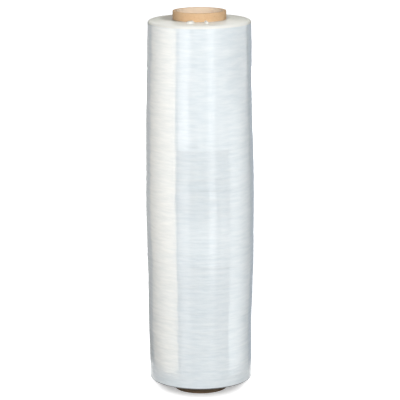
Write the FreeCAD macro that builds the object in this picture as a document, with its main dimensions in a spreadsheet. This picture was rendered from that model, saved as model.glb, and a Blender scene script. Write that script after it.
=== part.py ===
"""A hand roll of stretch wrap: a cardboard core and the film wound on it.

The roll stands upright on the lower cut end of its core. Z is the core's axis, with z = 0 on the
surface that it stands on, and the core stands out of the film at both ends. All sizes are in
millimetres.

The film is one continuous web, so its turns are one solid: a barrel with flat ends, banded by
shallow hoop grooves. Its wall is one turn of a spiral, so the free end of the film lies on the
turn below as a step that runs the full height. The edges of the turns show on both end faces as
a flat spiral groove.
"""

import FreeCAD, Part
import math
import os

import Sketcher

# Driving sizes: name, value and what it is.
SIZES = [
    ("bore_diameter", 50.8, "inside of the core, the two inch size that handles and spindles fit"),
    ("core_wall", 3.7, "thickness of the wound paperboard"),
    ("core_edge", 0.4, "chamfer on the core's cut ends"),
    ("film_width", 400.0, "width of the web, and so the height of the wound film"),
    ("stub_bottom", 12.4, "how far the core stands out below the film"),
    ("stub_top", 10.0, "how far the core stands out above the film"),
    ("bottom_radius", 56.2, "film wall at its lower rim"),
    ("belly_radius", 59.2, "film wall where the roll is thickest"),
    ("top_radius", 56.0, "film wall at its upper rim"),
    ("belly_height", 208.0, "height of the thickest place above the film's lower end"),
    ("bottom_rim", 2.2, "rounding of the lower outer edge"),
    ("top_rim", 3.4, "rounding of the upper outer edge"),
    ("hoop_pitch", 37.0, "mean spacing of the hoop grooves"),
    ("hoop_wander", 8.0, "how far a hoop groove strays from even spacing"),
    ("hoop_swell", 0.3, "how far the wall swells between two hoop grooves"),
    ("lap_step", 0.3, "height of the step at the film's free end"),
    ("lap_bearing", 118.0, "bearing of the free end, in degrees from +X towards +Y"),
    ("turn_pitch", 3.4, "radial growth of the spiral groove in one turn"),
    ("turn_width", 0.7, "width of the spiral groove"),
    ("turn_depth", 0.35, "depth of the spiral groove"),
    ("turn_margin", 0.8, "land left between the spiral groove and the folds or the rim"),
    ("wide_pucker_bearing", -108.0, "bearing of the wide fold of film against the core's foot"),
    ("wide_pucker_half", 3.7, "half of that fold's length round the core"),
    ("small_pucker_bearing", -75.0, "bearing of the small fold of film against the core's foot"),
    ("small_pucker_half", 2.0, "half of that fold's length round the core"),
    ("pucker_reach", 3.0, "how far the folds reach out from the core"),
    ("pucker_rise", 2.4, "how far the folds rise above the end of the film"),
]

GOLDEN_TURN = 2.399963  # radians, spreads the hoop grooves without a repeat
TAPER_POWER = 1.2  # how the wall tapers above the belly, where 1 is a straight cone
RIM_STEPS = 3  # cone faces that round each outer edge of the film
PUCKER_MIDDLE = 0.3  # share of a fold's reach at which its crest stands
HALF_TURN = 180  # degrees, the wall's spiral turn is made of two halves
CORE_RADIUS = "(sizes.bore_diameter / 2 + sizes.core_wall)"


def make_sheet(doc):
    """Writes the driving sizes into a spreadsheet, one aliased cell each."""
    sheet = doc.addObject("Spreadsheet::Sheet", "sizes")
    for row, (name, value, words) in enumerate(SIZES, start=1):
        sheet.set(f"A{row}", name)
        sheet.set(f"B{row}", str(value))
        sheet.set(f"C{row}", words)
        sheet.setAlias(f"B{row}", name)
    doc.recompute()
    return sheet


def plane(body, role):
    """One of a body's own origin planes."""
    return next(f for f in body.Origin.OriginFeatures if f.Role == role)


def new_sketch(body, name, role="XZ_Plane"):
    """A sketch on one of the body's origin planes. On XZ_Plane its x is the radius and its y is z."""
    sketch = body.newObject("Sketcher::SketchObject", name)
    sketch.AttachmentSupport = (plane(body, role), [""])
    sketch.MapMode = "FlatFace"
    return sketch


def bind(sketch, constraint, name, expression):
    """Adds a named constraint and binds it to an expression of the sizes."""
    index = sketch.addConstraint(constraint)
    sketch.renameConstraint(index, name)
    sketch.setExpression(f"Constraints.{name}", expression)


def pin(sketch, line, end, name, across, up):
    """Binds where a point lies. across and up are each an expression with its value."""
    bind(sketch, Sketcher.Constraint("DistanceX", -1, 1, line, end, across[1]), f"{name}_x", across[0])
    bind(sketch, Sketcher.Constraint("DistanceY", -1, 1, line, end, up[1]), f"{name}_z", up[0])


def centred_circle(sketch, radius, name, expression):
    """A circle about the sketch's origin with its radius bound."""
    circle = Part.Circle(FreeCAD.Vector(0, 0, 0), FreeCAD.Vector(0, 0, 1), radius)
    index = sketch.addGeometry(circle, False)
    sketch.addConstraint(Sketcher.Constraint("Coincident", index, 3, -1, 1))
    bind(sketch, Sketcher.Constraint("Radius", index, radius), name, expression)


def core_radius(sheet):
    """Outside radius of the core, which is also the inside of the film."""
    return sheet.bore_diameter / 2 + sheet.core_wall


def make_core(doc, sheet):
    """The core: a straight wound paperboard tube with lightly broken cut ends."""
    body = doc.addObject("PartDesign::Body", "cardboard_core")
    body.Label = "cardboard_core"
    section = new_sketch(body, "core_section", "XY_Plane")
    centred_circle(section, core_radius(sheet), "outside", CORE_RADIUS)
    centred_circle(section, sheet.bore_diameter / 2, "inside", "sizes.bore_diameter / 2")
    tube = body.newObject("PartDesign::Pad", "core_tube")
    tube.Profile = section
    tube.setExpression("Length", "sizes.film_width + sizes.stub_bottom + sizes.stub_top")
    doc.recompute()
    rings = [f"Edge{n}" for n, edge in enumerate(tube.Shape.Edges, start=1) if edge.isClosed()]
    broken = body.newObject("PartDesign::Chamfer", "core_cut_ends")
    broken.Base = (tube, rings)
    broken.setExpression("Size", "sizes.core_edge")
    return body


def wall_radius(sheet, height_words, height):
    """Radius of the film wall at a height, as an expression with its value.

    Below the belly the wall eases out of a straight foot, and above it tapers almost evenly.
    """
    if height < sheet.belly_height:
        words = (
            "sizes.belly_radius - (sizes.belly_radius - sizes.bottom_radius)"
            f" * (1 - cos(180 * (1 - ({height_words}) / sizes.belly_height))) / 2"
        )
        share = (1 - math.cos(math.pi * (1 - height / sheet.belly_height))) / 2
        return words, sheet.belly_radius - (sheet.belly_radius - sheet.bottom_radius) * share
    words = (
        "sizes.belly_radius - (sizes.belly_radius - sizes.top_radius) * ((("
        f"{height_words}) - sizes.belly_height) / (sizes.film_width - sizes.belly_height))"
        f" ^ {TAPER_POWER}"
    )
    share = ((height - sheet.belly_height) / (sheet.film_width - sheet.belly_height)) ** TAPER_POWER
    return words, sheet.belly_radius - (sheet.belly_radius - sheet.top_radius) * share


def rim_points(sheet, upper):
    """Corners of the steps that round one outer edge, from below to above."""
    radius_name, rim_name = ("top_radius", "top_rim") if upper else ("bottom_radius", "bottom_rim")
    radius, rim = getattr(sheet, radius_name), getattr(sheet, rim_name)
    found = []
    for step in range(RIM_STEPS + 1):
        angle = math.pi / 2 * step / RIM_STEPS
        inward = 1 - (math.cos(angle) if upper else math.sin(angle))
        along = 1 - (math.sin(angle) if upper else math.cos(angle))
        across = (f"sizes.{radius_name} - sizes.{rim_name} * {inward:.6f}", radius - rim * inward)
        if upper:
            height = (f"sizes.film_width - sizes.top_rim * {along:.6f}", sheet.film_width - rim * along)
        else:
            height = (f"sizes.bottom_rim * {along:.6f}", rim * along)
        found.append((across, height))
    return found


def wall_points(sheet):
    """The corners of the film's half section from its lower end to its upper end."""
    found = rim_points(sheet, False)
    for n in range(1, int(sheet.film_width / sheet.hoop_pitch)):
        stray = math.sin(GOLDEN_TURN * n)
        words = f"sizes.hoop_pitch * {n} + sizes.hoop_wander * {stray:.4f}"
        height = sheet.hoop_pitch * n + sheet.hoop_wander * stray
        found.append((wall_radius(sheet, words, height), (words, height)))
    return found + rim_points(sheet, True)


def swell_radius(start, end, swell):
    """Radius of the arc from one point to another that swells by a given height between them."""
    half = (end - start).Length / 2
    return (half * half + swell * swell) / (2 * swell)


def swelling_arc(start, end, swell):
    """The arc from one point up to the next whose middle swells away from the axis."""
    radius = swell_radius(start, end, swell)
    along = (end - start).normalize()
    inward = FreeCAD.Vector(-along.y, along.x, 0)
    centre = (start + end) / 2 + inward * (radius - swell)
    first = math.atan2(start.y - centre.y, start.x - centre.x)
    last = math.atan2(end.y - centre.y, end.x - centre.x)
    circle = Part.Circle(centre, FreeCAD.Vector(0, 0, 1), radius)
    return Part.ArcOfCircle(circle, first, last)


def film_section(body, sheet, name, shifted):
    """The film's half section. When shifted, its wall lies further out by the step of the lap.

    Its first line is the axis that it turns about, half a shift away from the core's axis.
    """
    sketch = new_sketch(body, name)
    shift, shift_words = (sheet.lap_step, "sizes.lap_step") if shifted else (0.0, "0")
    points = wall_points(sheet)
    corners = [FreeCAD.Vector(across[1] + shift, up[1], 0) for across, up in points]
    foot = FreeCAD.Vector(shift / 2, 0, 0)
    head = FreeCAD.Vector(shift / 2, sheet.film_width, 0)
    pieces = [Part.LineSegment(head, foot), Part.LineSegment(foot, corners[0])]
    bands = range(RIM_STEPS, len(points) - 1 - RIM_STEPS)
    for n in range(len(points) - 1):
        if n in bands:
            pieces.append(swelling_arc(corners[n], corners[n + 1], sheet.hoop_swell))
        else:
            pieces.append(Part.LineSegment(corners[n], corners[n + 1]))
    pieces.append(Part.LineSegment(corners[-1], head))
    for piece in pieces:
        sketch.addGeometry(piece, False)
    for n in range(len(pieces)):
        sketch.addConstraint(Sketcher.Constraint("Coincident", n, 2, (n + 1) % len(pieces), 1))
    axis = (f"{shift_words} / 2", shift / 2)
    pin(sketch, 1, 1, "foot", axis, ("0", 0.0))
    pin(sketch, 0, 1, "head", axis, ("sizes.film_width", sheet.film_width))
    for n, (across, up) in enumerate(points):
        moved = (f"{across[0]} + {shift_words}", across[1] + shift)
        pin(sketch, n + 2, 1, f"corner_{n}", moved, up)
    for n in bands:
        dx = f"(Constraints.corner_{n + 1}_x - Constraints.corner_{n}_x)"
        dz = f"(Constraints.corner_{n + 1}_z - Constraints.corner_{n}_z)"
        half_squared = f"({dx} * {dx} + {dz} * {dz}) / 4 / 1mm / 1mm"
        bind(
            sketch,
            Sketcher.Constraint("Radius", n + 2, swell_radius(corners[n], corners[n + 1], sheet.hoop_swell)),
            f"band_{n}",
            f"({half_squared} + sizes.hoop_swell ^ 2) / (2 * sizes.hoop_swell)",
        )
    return sketch


def wind_half(body, sheet, name, shifted):
    """Turns one half of the film's wall through half a turn, the lapped half on the far side."""
    section = film_section(body, sheet, name + "_section", shifted)
    half = body.newObject("PartDesign::Revolution", name)
    half.Profile = section
    half.ReferenceAxis = (section, ["Edge1"])
    half.Angle = HALF_TURN
    half.Reversed = shifted
    return half


def spiral_groove(body, sheet, name, upper):
    """Cuts the edges of the turns into one end face as a flat spiral groove."""
    sketch = new_sketch(body, name + "_section", "YZ_Plane")
    start_words = f"{CORE_RADIUS} + sizes.pucker_reach + sizes.turn_margin + sizes.turn_width / 2"
    start = core_radius(sheet) + sheet.pucker_reach + sheet.turn_margin + sheet.turn_width / 2
    face_words, face = ("sizes.film_width", sheet.film_width) if upper else ("0", 0.0)
    inward = -1 if upper else 1
    corners = [
        (
            (f"{start_words} + sizes.turn_width * {across}", start + sheet.turn_width * across),
            (f"{face_words} + sizes.turn_depth * {up}", face + sheet.turn_depth * up),
        )
        for across, up in ((0, inward), (1, -inward), (-1, -inward))
    ]
    ends = [FreeCAD.Vector(across[1], up[1], 0) for across, up in corners]
    for n in range(len(ends)):
        sketch.addGeometry(Part.LineSegment(ends[n], ends[(n + 1) % len(ends)]), False)
    for n in range(len(ends)):
        sketch.addConstraint(Sketcher.Constraint("Coincident", n, 2, (n + 1) % len(ends), 1))
        pin(sketch, n, 1, f"corner_{n}", *corners[n])
    groove = body.newObject("PartDesign::SubtractiveHelix", name)
    groove.Profile = sketch
    groove.ReferenceAxis = (sketch, ["V_Axis"])
    groove.Mode = "height-turns-growth"
    groove.Height = 0
    groove.setExpression("Growth", "sizes.turn_pitch")
    groove.setExpression(
        "Turns",
        f"(sizes.top_radius - sizes.top_rim - {CORE_RADIUS} - sizes.pucker_reach"
        " - 2 * sizes.turn_margin - sizes.turn_width) / sizes.turn_pitch",
    )


def film_pucker(body, name):
    """A fold of loose film pinched up against the core's foot on the upper end face."""
    bearing = f"(sizes.{name}_bearing - sizes.lap_bearing)"
    middle = f"({CORE_RADIUS} + sizes.pucker_reach * {PUCKER_MIDDLE})"
    fold = body.newObject("PartDesign::AdditiveEllipsoid", name)
    fold.setExpression("Radius1", "sizes.pucker_rise")
    fold.setExpression("Radius2", f"sizes.pucker_reach * {1 - PUCKER_MIDDLE}")
    fold.setExpression("Radius3", f"sizes.{name}_half")
    fold.setExpression(".Placement.Base.x", f"{middle} * cos({bearing})")
    fold.setExpression(".Placement.Base.y", f"{middle} * sin({bearing})")
    fold.setExpression(".Placement.Base.z", "sizes.film_width")
    fold.setExpression(".Placement.Rotation.Angle", bearing)


def make_film(doc, sheet):
    """The film: one web wound on the core, from its first turn to its lapped free end.

    It is built with its lower end at z = 0 and its free end at the bearing of +X, and is then
    lifted and turned as a whole.
    """
    body = doc.addObject("PartDesign::Body", "film_roll")
    body.Label = "film_roll"
    wind_half(body, sheet, "under_half", False)
    wind_half(body, sheet, "lapped_half", True)
    film_pucker(body, "wide_pucker")
    film_pucker(body, "small_pucker")
    hole = new_sketch(body, "film_inside_section", "XY_Plane")
    centred_circle(hole, core_radius(sheet), "inside", CORE_RADIUS)
    bored = body.newObject("PartDesign::Pocket", "film_inside")
    bored.Profile = hole
    bored.Type = "ThroughAll"
    bored.Reversed = True
    spiral_groove(body, sheet, "upper_turns", True)
    spiral_groove(body, sheet, "lower_turns", False)
    body.setExpression(".Placement.Base.z", "sizes.stub_bottom")
    body.setExpression(".Placement.Rotation.Angle", "sizes.lap_bearing")
    return body


def main():
    """Builds both pieces, checks every object and writes one file for each piece."""
    doc = FreeCAD.newDocument("stretch_wrap_roll")
    sheet = make_sheet(doc)
    pieces = [make_core(doc, sheet), make_film(doc, sheet)]
    doc.recompute()
    for item in doc.Objects:
        if "Invalid" in item.State or "Error" in item.State:
            raise RuntimeError(f"{item.Name} could not be built")
    os.makedirs("parts", exist_ok=True)
    for piece in pieces:
        if piece.Shape.isNull() or not piece.Shape.isValid():
            raise RuntimeError(f"{piece.Name} has no valid shape")
        piece.Shape.exportStep(f"parts/{piece.Name}.step")
        print(piece.Name, f"volume {piece.Shape.Volume:.0f} cubic millimetres")


main()
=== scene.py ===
"""A hand roll of stretch wrap on its cardboard core, dressed and lit for a product picture.

Two CAD nodes are the frame: the core and the film wound on it. Both are replaced here by meshes
that carry what the solids leave out. The core gets its helical ply seams and its rough cut ends,
and the film its uneven winding, its hoops and wrinkles, and the edges of its turns.
"""

import sys
import logging
import math
from dataclasses import dataclass
from enum import Enum
from typing import Sequence, Union

import bmesh
import bpy
from mathutils import Matrix, Vector


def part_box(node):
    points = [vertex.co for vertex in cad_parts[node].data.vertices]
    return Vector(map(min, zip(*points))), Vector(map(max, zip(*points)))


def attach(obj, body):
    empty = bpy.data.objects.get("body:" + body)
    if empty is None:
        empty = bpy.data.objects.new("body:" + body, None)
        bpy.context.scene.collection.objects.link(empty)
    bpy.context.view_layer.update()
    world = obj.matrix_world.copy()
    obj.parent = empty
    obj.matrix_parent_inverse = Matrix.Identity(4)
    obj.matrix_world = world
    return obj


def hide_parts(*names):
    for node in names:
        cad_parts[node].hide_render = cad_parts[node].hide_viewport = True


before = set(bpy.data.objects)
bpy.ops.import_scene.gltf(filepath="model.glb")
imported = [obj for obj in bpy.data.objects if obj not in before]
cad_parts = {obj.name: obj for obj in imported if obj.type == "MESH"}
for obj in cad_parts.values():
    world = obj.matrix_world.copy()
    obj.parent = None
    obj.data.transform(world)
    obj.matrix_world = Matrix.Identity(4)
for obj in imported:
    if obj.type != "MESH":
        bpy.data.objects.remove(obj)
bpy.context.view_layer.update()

LOG = logging.getLogger("stretch_wrap_roll")
MM = 0.001
QUARTER = math.pi / 2
WHITE = (1.0, 1.0, 1.0)

# The bearing of the film's free end, in degrees from +X towards +Y.
LAP_BEARING = 118.0
# The attribute that is 1 on the ends of the film and 0 on its wall.
END_FACE = "end_face"
# Edges sharper than this many degrees stay sharp.
SHARP_ANGLE = 38.0
# Points closer than this are one point, in metres.
DOUBLED = 1e-7
# Seams narrower than this are closed, in metres.
SEAM_WIDTH = 0.002 * MM
# A share past this one is complete.
COMPLETE = 0.999

Socket = bpy.types.NodeSocket
Sizes = bpy.types.bpy_prop_collection
Input = Union[float, int, Sequence[float], Socket]
Colour = tuple[float, float, float, float]


class Slot(Enum):
    """The record's material slots."""

    CARDBOARD = "cardboard"
    FILM = "film"


class NodeSheet:
    """One node tree, with short calls for the nodes that its formulas use."""

    # The Mix node has sockets for each kind of value. These are the ones for colours.
    FIRST_COLOUR = 6
    SECOND_COLOUR = 7
    MIXED_COLOUR = 2

    def __init__(self, tree: bpy.types.NodeTree) -> None:
        """Starts on a tree.

        Args:
            tree: the geometry or shader tree that the nodes go into.
        """
        self.tree = tree

    def add(self, kind: str, **settings: object) -> bpy.types.Node:
        """Adds a node.

        Args:
            kind: the node's type name.
            **settings: properties to set on it.

        Returns:
            The new node.
        """
        node = self.tree.nodes.new(kind)
        for name, value in settings.items():
            setattr(node, name, value)
        return node

    def feed(self, socket: Socket, value: Input) -> None:
        """Joins a socket to another, or sets its own value.

        Args:
            socket: the input to feed.
            value: another node's output, or a plain value.
        """
        if isinstance(value, bpy.types.NodeSocket):
            self.tree.links.new(value, socket)
        else:
            socket.default_value = value

    def math(self, operation: str, *values: Input, clamp: bool = False) -> Socket:
        """A Math node.

        Args:
            operation: the Math node's operation.
            *values: its operands, as numbers or sockets.
            clamp: whether the result stays between 0 and 1.

        Returns:
            The result's socket.
        """
        node = self.add("ShaderNodeMath", operation=operation, use_clamp=clamp)
        for socket, value in zip(node.inputs, values):
            self.feed(socket, value)
        return node.outputs[0]

    def sum(self, first: Input, *others: Input) -> Socket:
        """Adds numbers or sockets up.

        Args:
            first: the first of them.
            *others: the rest.

        Returns:
            The total's socket.
        """
        total = first
        for other in others:
            total = self.math("ADD", total, other)
        return total

    def times(self, first: Input, *others: Input) -> Socket:
        """Multiplies numbers or sockets.

        Args:
            first: the first of them.
            *others: the rest.

        Returns:
            The product's socket.
        """
        product = first
        for other in others:
            product = self.math("MULTIPLY", product, other)
        return product

    def less(self, first: Input, second: Input) -> Socket:
        """Takes the second from the first."""
        return self.math("SUBTRACT", first, second)

    def flip(self, value: Input) -> Socket:
        """Turns 0 into 1 and 1 into 0."""
        return self.less(1.0, value)

    def reach(self, x: Input, y: Input) -> Socket:
        """The length of a level line with these two parts."""
        return self.math("SQRT", self.sum(self.times(x, x), self.times(y, y)))

    def matches(self, value: Socket, number: float) -> Socket:
        """1 where a whole number is this one, and 0 elsewhere."""
        return self.math("COMPARE", value, number, 0.1)

    def centred(self, noise: Socket) -> Socket:
        """Spreads noise about 0.5 to noise about 0, mostly between -1 and 1."""
        return self.times(self.less(noise, 0.5), 4.0)

    def share(
        self, value: Input, low: Input, high: Input, to_low: float = 0.0, to_high: float = 1.0
    ) -> Socket:
        """How far a value is on its way from low to high, eased at both ends and never past them.

        Args:
            value: what is measured.
            low: where the way starts.
            high: where it ends.
            to_low: the result at the start.
            to_high: the result at the end.

        Returns:
            The result's socket.
        """
        node = self.add("ShaderNodeMapRange", interpolation_type="SMOOTHSTEP")
        names = ("Value", "From Min", "From Max", "To Min", "To Max")
        for name, given in zip(names, (value, low, high, to_low, to_high)):
            self.feed(node.inputs[name], given)
        return node.outputs["Result"]

    def vector(self, x: Input, y: Input, z: Input) -> Socket:
        """A vector from its three parts.

        Args:
            x: the first part.
            y: the second part.
            z: the third part.

        Returns:
            The vector's socket.
        """
        node = self.add("ShaderNodeCombineXYZ")
        for socket, value in zip(node.inputs, (x, y, z)):
            self.feed(socket, value)
        return node.outputs[0]

    def parts(self, vector: Socket) -> tuple[Socket, Socket, Socket]:
        """The three parts of a vector.

        Args:
            vector: the vector's socket.

        Returns:
            A socket for each part.
        """
        node = self.add("ShaderNodeSeparateXYZ")
        self.feed(node.inputs[0], vector)
        return node.outputs[0], node.outputs[1], node.outputs[2]

    def noise(self, vector: Input, scale: Input, detail: float = 2.0, roughness: float = 0.5) -> Socket:
        """Smooth noise.

        Args:
            vector: where it is read.
            scale: how many features there are to one unit of the vector.
            detail: how many finer layers lie on it.
            roughness: how strong each finer layer is.

        Returns:
            A value about 0.5, mostly between 0.25 and 0.75.
        """
        node = self.add("ShaderNodeTexNoise")
        settings = {"Vector": vector, "Scale": scale, "Detail": detail, "Roughness": roughness}
        for name, value in settings.items():
            self.feed(node.inputs[name], value)
        return node.outputs[0]

    def blend(self, amount: Input, first: Input, second: Input) -> Socket:
        """Mixes two colours.

        Args:
            amount: the share of the second one.
            first: the colour at 0.
            second: the colour at 1.

        Returns:
            The mixed colour's socket.
        """
        node = self.add("ShaderNodeMix", data_type="RGBA")
        self.feed(node.inputs["Factor"], amount)
        self.feed(node.inputs[self.FIRST_COLOUR], first)
        self.feed(node.inputs[self.SECOND_COLOUR], second)
        return node.outputs[self.MIXED_COLOUR]

    def bump(self, height: Socket, distance: float, strength: float = 1.0) -> Socket:
        """Tilts the surface by a height.

        Args:
            height: the height's socket.
            distance: metres that a height of 1 stands for.
            strength: the share of the tilt that is used.

        Returns:
            The tilted normal's socket.
        """
        node = self.add("ShaderNodeBump")
        for name, value in (("Height", height), ("Distance", distance), ("Strength", strength)):
            self.feed(node.inputs[name], value)
        return node.outputs["Normal"]

    def group(self, tree: bpy.types.NodeTree, **values: Input) -> bpy.types.Node:
        """Places a node group and feeds its inputs.

        Args:
            tree: the group's tree.
            **values: the value of each input, by its name.

        Returns:
            The group's node.
        """
        node = self.add("ShaderNodeGroup", node_tree=tree)
        for name, value in values.items():
            self.feed(node.inputs[name], value)
        return node


def new_group(
    name: str, kind: str, inputs: Sequence[tuple[str, str]], outputs: Sequence[tuple[str, str]]
) -> NodeSheet:
    """Makes an empty node group with named sockets.

    Args:
        name: the group's name.
        kind: the tree's type name.
        inputs: name and type of each input.
        outputs: name and type of each output.

    Returns:
        A sheet on the new tree.
    """
    tree = bpy.data.node_groups.new(name, kind)
    for title, type_name in inputs:
        tree.interface.new_socket(name=title, in_out="INPUT", socket_type=f"NodeSocket{type_name}")
    for title, type_name in outputs:
        tree.interface.new_socket(name=title, in_out="OUTPUT", socket_type=f"NodeSocket{type_name}")
    return NodeSheet(tree)


def round_place_group() -> bpy.types.NodeTree:
    """Builds the group that reads a point's place round the roll's axis.

    Returns:
        A group with the outputs Radius in metres, Bearing in turns from -0.5 to 0.5, Height in
        metres, and Upward, which is 1 where the surface faces straight up or down.
    """
    sheet = new_group(
        "round_place", "ShaderNodeTree", [],
        [("Radius", "Float"), ("Bearing", "Float"), ("Height", "Float"), ("Upward", "Float")],
    )
    place = sheet.add("ShaderNodeTexCoord")
    out = sheet.add("NodeGroupOutput")
    x, y, z = sheet.parts(place.outputs["Object"])
    _, _, lean = sheet.parts(place.outputs["Normal"])
    sheet.feed(out.inputs["Radius"], sheet.reach(x, y))
    sheet.feed(out.inputs["Bearing"], sheet.times(sheet.math("ARCTAN2", y, x), 1 / math.tau))
    sheet.feed(out.inputs["Height"], z)
    sheet.feed(out.inputs["Upward"], sheet.math("ABSOLUTE", lean))
    return sheet.tree


def streak_group() -> bpy.types.NodeTree:
    """Builds the group of fine streaks that run round a wound or rolled surface.

    Returns:
        A group with the inputs Vector, Fineness in streaks to a metre, Length as how many times a
        streak is longer than it is wide, and Contrast, and the output Streak from 0 to 1.
    """
    sheet = new_group(
        "round_streaks", "ShaderNodeTree",
        [("Vector", "Vector"), ("Fineness", "Float"), ("Length", "Float"), ("Contrast", "Float")],
        [("Streak", "Float")],
    )
    inside = sheet.add("NodeGroupInput")
    out = sheet.add("NodeGroupOutput")
    x, y, z = sheet.parts(inside.outputs["Vector"])
    along = sheet.math("DIVIDE", inside.outputs["Fineness"], inside.outputs["Length"])
    across = inside.outputs["Fineness"]
    spot = sheet.vector(sheet.times(x, along), sheet.times(y, along), sheet.times(z, across))
    fine = sheet.noise(spot, 1.0, detail=3.0, roughness=0.6)
    centred = sheet.times(sheet.less(fine, 0.5), inside.outputs["Contrast"])
    sheet.feed(out.inputs["Streak"], sheet.math("ADD", centred, 0.5, clamp=True))
    return sheet.tree


def handling_group() -> bpy.types.NodeTree:
    """Builds the group of marks that handling leaves: soft smears with a few small scuffs in them.

    Returns:
        A group with the inputs Vector, Scale in patches to a metre and Amount, and the output Mark
        from 0 to 1.
    """
    sheet = new_group(
        "handling_marks", "ShaderNodeTree",
        [("Vector", "Vector"), ("Scale", "Float"), ("Amount", "Float")], [("Mark", "Float")],
    )
    inside = sheet.add("NodeGroupInput")
    out = sheet.add("NodeGroupOutput")
    where, scale = inside.outputs["Vector"], inside.outputs["Scale"]
    scuffs_per_smear = 9.0
    smear_fade, scuff_fade = (0.45, 0.68), (0.6, 0.72)
    smear_share = 0.6
    smear = sheet.share(sheet.noise(where, scale, detail=4.0), *smear_fade)
    scuff = sheet.share(sheet.noise(where, sheet.times(scale, scuffs_per_smear)), *scuff_fade)
    mark = sheet.math("MAXIMUM", sheet.times(smear, smear_share), sheet.times(scuff, smear))
    sheet.feed(out.inputs["Mark"], sheet.times(mark, inside.outputs["Amount"]))
    return sheet.tree


@dataclass(frozen=True)
class SharedEffects:
    """The node groups that more than one finish places."""

    place: bpy.types.NodeTree
    streaks: bpy.types.NodeTree
    handling: bpy.types.NodeTree

    @classmethod
    def build(cls) -> "SharedEffects":
        """Builds every group once."""
        return cls(round_place_group(), streak_group(), handling_group())


@dataclass(frozen=True)
class Streaks:
    """One layer of streaks: how many to a metre, how long for their width, and how strong."""

    fineness: float
    length: float
    contrast: float

    def place(self, sheet: NodeSheet, effects: SharedEffects, spot: Socket) -> Socket:
        """Places the streaks in a material.

        Args:
            sheet: the sheet on the material's tree.
            effects: the shared node groups.
            spot: the place in object coordinates.

        Returns:
            The streaks, from 0 to 1.
        """
        node = sheet.group(
            effects.streaks, Vector=spot, Fineness=self.fineness, Length=self.length, Contrast=self.contrast
        )
        return node.outputs["Streak"]


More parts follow.
